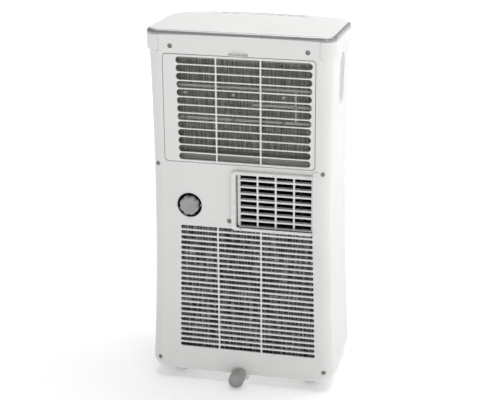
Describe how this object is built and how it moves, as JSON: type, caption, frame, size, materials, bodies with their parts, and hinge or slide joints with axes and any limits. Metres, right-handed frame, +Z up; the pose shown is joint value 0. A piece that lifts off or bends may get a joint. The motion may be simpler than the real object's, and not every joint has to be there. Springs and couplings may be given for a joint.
{
  "type": "portable air conditioner",
  "caption": "Floor-standing portable air conditioner on castors: tilt-out filter grille, side-loading exhaust outlet, drains, side grips, front flaps and top controls.",
  "frame": {"origin": "centre of the footprint's bounding box on the floor, under the castors", "axes": "+Z up, +Y out of the rear (hose side), -Y out of the front (air outlet), +X to the right seen from the front"},
  "size_m": [0.358, 0.263, 0.695],
  "materials": {
    "casing": "fine satin moulded plastic, white",
    "silver_trim": "silver paint over plastic",
    "panel_grey": "off-white gloss",
    "smoked_lens": "pale smoked plastic",
    "filter_net": "fine nylon net",
    "rubber_grey": "grey rubber",
    "rubber_black": "black rubber",
    "castor_plastic": "black moulded plastic",
    "screw_steel": "zinc plated",
    "black_enamel": "black enamel",
    "coil_fins": "bare fin stock",
    "copper": "bare copper tube",
    "scroll_plastic": "black moulded plastic",
    "zinc_sheet": "galvanised sheet",
    "board": "green circuit board"
  },
  "bodies": {
    "casing": {"base_pan": "casing", "rear_cover": "casing", "front_case": "casing", "front_panel": "casing", "top_cover": "casing", "trim_ring": "silver_trim", "top_panel": "casing", "side_panel_left": "casing", "side_panel_right": "casing", "lower_grille": "casing", "control_panel": "panel_grey", "display_window": "smoked_lens", "inner_guard": "casing", "exhaust_frame": "casing", "exhaust_grille": "casing", "drain_spout": "rubber_grey", "drain_strap": "rubber_grey", "handle_cup_left": "casing", "handle_cup_right": "casing", "cord_gland": "rubber_black", "outlet_frame": "casing", "screws": "screw_steel", "compressor": "black_enamel", "compressor_feet": "rubber_black", "evaporator": "coil_fins", "condenser": "coil_fins", "coil_bends": "copper", "divider_tray": "casing", "upper_scroll": "scroll_plastic", "upper_motor": "black_enamel", "lower_scroll": "scroll_plastic", "lower_motor": "black_enamel", "copper_pipes": "copper", "control_box": "zinc_sheet", "circuit_boards": "board", "drain_hose": "rubber_grey"},
    "filter_door": {"filter_grille": "casing", "filter_mesh": "filter_net"},
    "drain_cap_body": {"drain_cap": "rubber_grey"},
    "base_drain_cap_body": {"base_drain_cap": "rubber_grey"},
    "flap_upper": {"air_flap_upper": "casing"},
    "flap_lower": {"air_flap_lower": "casing"},
    "upper_fan": {"upper_blower": "scroll_plastic"},
    "lower_fan": {"lower_blower": "scroll_plastic"},
    "vane_1": {"air_vane_1": "casing"},
    "vane_2": {"air_vane_2": "casing"},
    "vane_3": {"air_vane_3": "casing"},
    "swivel_1": {"castor_fork_1": "castor_plastic"},
    "wheel_1": {"castor_wheel_1": "rubber_grey"},
    "swivel_2": {"castor_fork_2": "castor_plastic"},
    "wheel_2": {"castor_wheel_2": "rubber_grey"},
    "swivel_3": {"castor_fork_3": "castor_plastic"},
    "wheel_3": {"castor_wheel_3": "rubber_grey"},
    "swivel_4": {"castor_fork_4": "castor_plastic"},
    "wheel_4": {"castor_wheel_4": "rubber_grey"},
    "key_power": {"button_power": "panel_grey"},
    "key_mode": {"button_mode": "panel_grey"},
    "key_fan": {"button_fan": "panel_grey"},
    "key_down": {"button_down": "panel_grey"},
    "key_up": {"button_up": "panel_grey"}
  },
  "joints": [
    {"name": "filter_grille_tilt", "type": "hinge", "parent": "casing", "child": "filter_door", "pos_m": [0, 0.102, 0.4465], "axis": [-1, 0, 0], "range_deg": [0, 45]},
    {"name": "drain_cap_turn", "type": "hinge", "parent": "casing", "child": "drain_cap_body", "pos_m": [0.0954, 0.1035, 0.36], "axis": [0, 1, 0], "range_deg": [0, 270]},
    {"name": "base_drain_cap_pull", "type": "slide", "parent": "casing", "child": "base_drain_cap_body", "axis": [0, 1, 0], "range_m": [0, 0.03]},
    {"name": "flap_upper_tilt", "type": "hinge", "parent": "casing", "child": "flap_upper", "pos_m": [0, -0.1155, 0.6262], "axis": [1, 0, 0], "range_deg": [0, 75]},
    {"name": "flap_lower_tilt", "type": "hinge", "parent": "casing", "child": "flap_lower", "pos_m": [0, -0.1155, 0.5978], "axis": [1, 0, 0], "range_deg": [0, 75]},
    {"name": "vane_1_turn", "type": "hinge", "parent": "casing", "child": "vane_1", "pos_m": [-0.061, -0.0835, 0.612], "axis": [0, 0, 1], "range_deg": [-35, 35]},
    {"name": "vane_2_turn", "type": "hinge", "parent": "casing", "child": "vane_2", "pos_m": [0, -0.0835, 0.612], "axis": [0, 0, 1], "range_deg": [-35, 35]},
    {"name": "vane_3_turn", "type": "hinge", "parent": "casing", "child": "vane_3", "pos_m": [0.061, -0.0835, 0.612], "axis": [0, 0, 1], "range_deg": [-35, 35]},
    {"name": "swivel_1_turn", "type": "hinge", "parent": "casing", "child": "swivel_1", "pos_m": [-0.128, 0.0535, 0.04], "axis": [0, 0, 1], "continuous": true},
    {"name": "wheel_1_spin", "type": "hinge", "parent": "swivel_1", "child": "wheel_1", "pos_m": [-0.128, 0.0615, 0.015], "axis": [1, 0, 0], "continuous": true},
    {"name": "swivel_2_turn", "type": "hinge", "parent": "casing", "child": "swivel_2", "pos_m": [0.128, 0.0535, 0.04], "axis": [0, 0, 1], "continuous": true},
    {"name": "wheel_2_spin", "type": "hinge", "parent": "swivel_2", "child": "wheel_2", "pos_m": [0.128, 0.0615, 0.015], "axis": [1, 0, 0], "continuous": true},
    {"name": "swivel_3_turn", "type": "hinge", "parent": "casing", "child": "swivel_3", "pos_m": [-0.128, -0.0735, 0.04], "axis": [0, 0, 1], "continuous": true},
    {"name": "wheel_3_spin", "type": "hinge", "parent": "swivel_3", "child": "wheel_3", "pos_m": [-0.128, -0.0655, 0.015], "axis": [1, 0, 0], "continuous": true},
    {"name": "swivel_4_turn", "type": "hinge", "parent": "casing", "child": "swivel_4", "pos_m": [0.128, -0.0735, 0.04], "axis": [0, 0, 1], "continuous": true},
    {"name": "wheel_4_spin", "type": "hinge", "parent": "swivel_4", "child": "wheel_4", "pos_m": [0.128, -0.0655, 0.015], "axis": [1, 0, 0], "continuous": true},
    {"name": "upper_fan_spin", "type": "hinge", "parent": "casing", "child": "upper_fan", "pos_m": [0, 0, 0.53], "axis": [0, 1, 0], "continuous": true},
    {"name": "lower_fan_spin", "type": "hinge", "parent": "casing", "child": "lower_fan", "pos_m": [-0.035, -0.035, 0.38], "axis": [0, 0, 1], "continuous": true},
    {"name": "key_power_press", "type": "slide", "parent": "casing", "child": "key_power", "axis": [0, 0.1564, -0.9877], "range_m": [0, 0.001], "stiffness_N_per_m": 600},
    {"name": "key_mode_press", "type": "slide", "parent": "casing", "child": "key_mode", "axis": [0, 0.1564, -0.9877], "range_m": [0, 0.001], "stiffness_N_per_m": 600},
    {"name": "key_fan_press", "type": "slide", "parent": "casing", "child": "key_fan", "axis": [0, 0.1564, -0.9877], "range_m": [0, 0.001], "stiffness_N_per_m": 600},
    {"name": "key_down_press", "type": "slide", "parent": "casing", "child": "key_down", "axis": [0, 0.1564, -0.9877], "range_m": [0, 0.001], "stiffness_N_per_m": 600},
    {"name": "key_up_press", "type": "slide", "parent": "casing", "child": "key_up", "axis": [0, 0.1564, -0.9877], "range_m": [0, 0.001], "stiffness_N_per_m": 600}
  ],
  "couplings": [
    {"joint": "flap_lower_tilt", "follows": "flap_upper_tilt", "ratio": 1},
    {"joint": "vane_2_turn", "follows": "vane_1_turn", "ratio": 1},
    {"joint": "vane_3_turn", "follows": "vane_1_turn", "ratio": 1}
  ]
}
